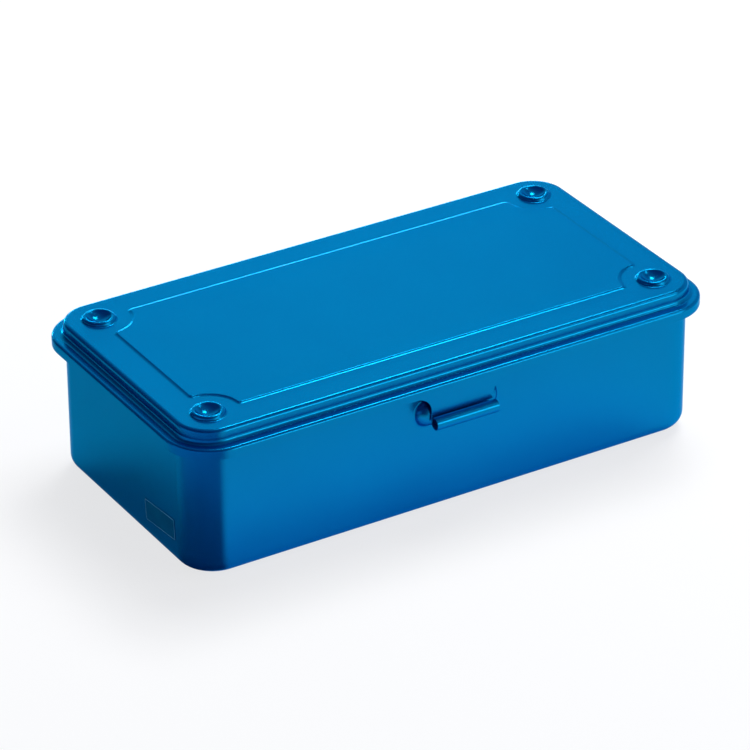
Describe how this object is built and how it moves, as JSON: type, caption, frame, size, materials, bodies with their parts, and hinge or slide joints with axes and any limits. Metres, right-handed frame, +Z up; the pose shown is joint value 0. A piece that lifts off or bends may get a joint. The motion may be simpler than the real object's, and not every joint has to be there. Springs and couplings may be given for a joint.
{
  "type": "metal storage box",
  "caption": "Shallow rectangular box pressed from thin blue-lacquered steel, with a hinged lid that snaps shut at a rolled front tongue, for papers and keepsakes.",
  "frame": {"origin": "middle of the whole footprint, on the surface that the feet stand on", "axes": "+X along the box to the right, front with the latch at -Y, hinges at +Y, +Z up"},
  "size_m": [0.203, 0.11, 0.0571],
  "materials": {
    "blue_lacquer": "glossy metallic blue baked lacquer over pressed sheet steel",
    "pin_steel": "drawn zinc-plated steel wire",
    "label_film": "dark glossy film with a pale edge line, bare"
  },
  "bodies": {
    "box": {"box_body": "blue_lacquer", "hinge_left_body_leaf": "blue_lacquer", "hinge_right_body_leaf": "blue_lacquer", "hinge_left_pin": "pin_steel", "hinge_right_pin": "pin_steel", "label": "label_film"},
    "lid": {"lid": "blue_lacquer", "hinge_left_lid_leaf": "blue_lacquer", "hinge_right_lid_leaf": "blue_lacquer"},
    "latch": {"latch_tongue": "blue_lacquer"}
  },
  "joints": [
    {"name": "lid_hinge", "type": "hinge", "parent": "box", "child": "lid", "pos_m": [0, 0.05239, 0.04523], "axis": [-1, 0, 0], "range_deg": [0, 110]},
    {"name": "latch_flex", "type": "hinge", "parent": "lid", "child": "latch", "pos_m": [0, -0.05118, 0.04748], "axis": [-1, 0, 0], "range_deg": [0, 6], "stiffness_Nm_per_rad": 0.4}
  ]
}
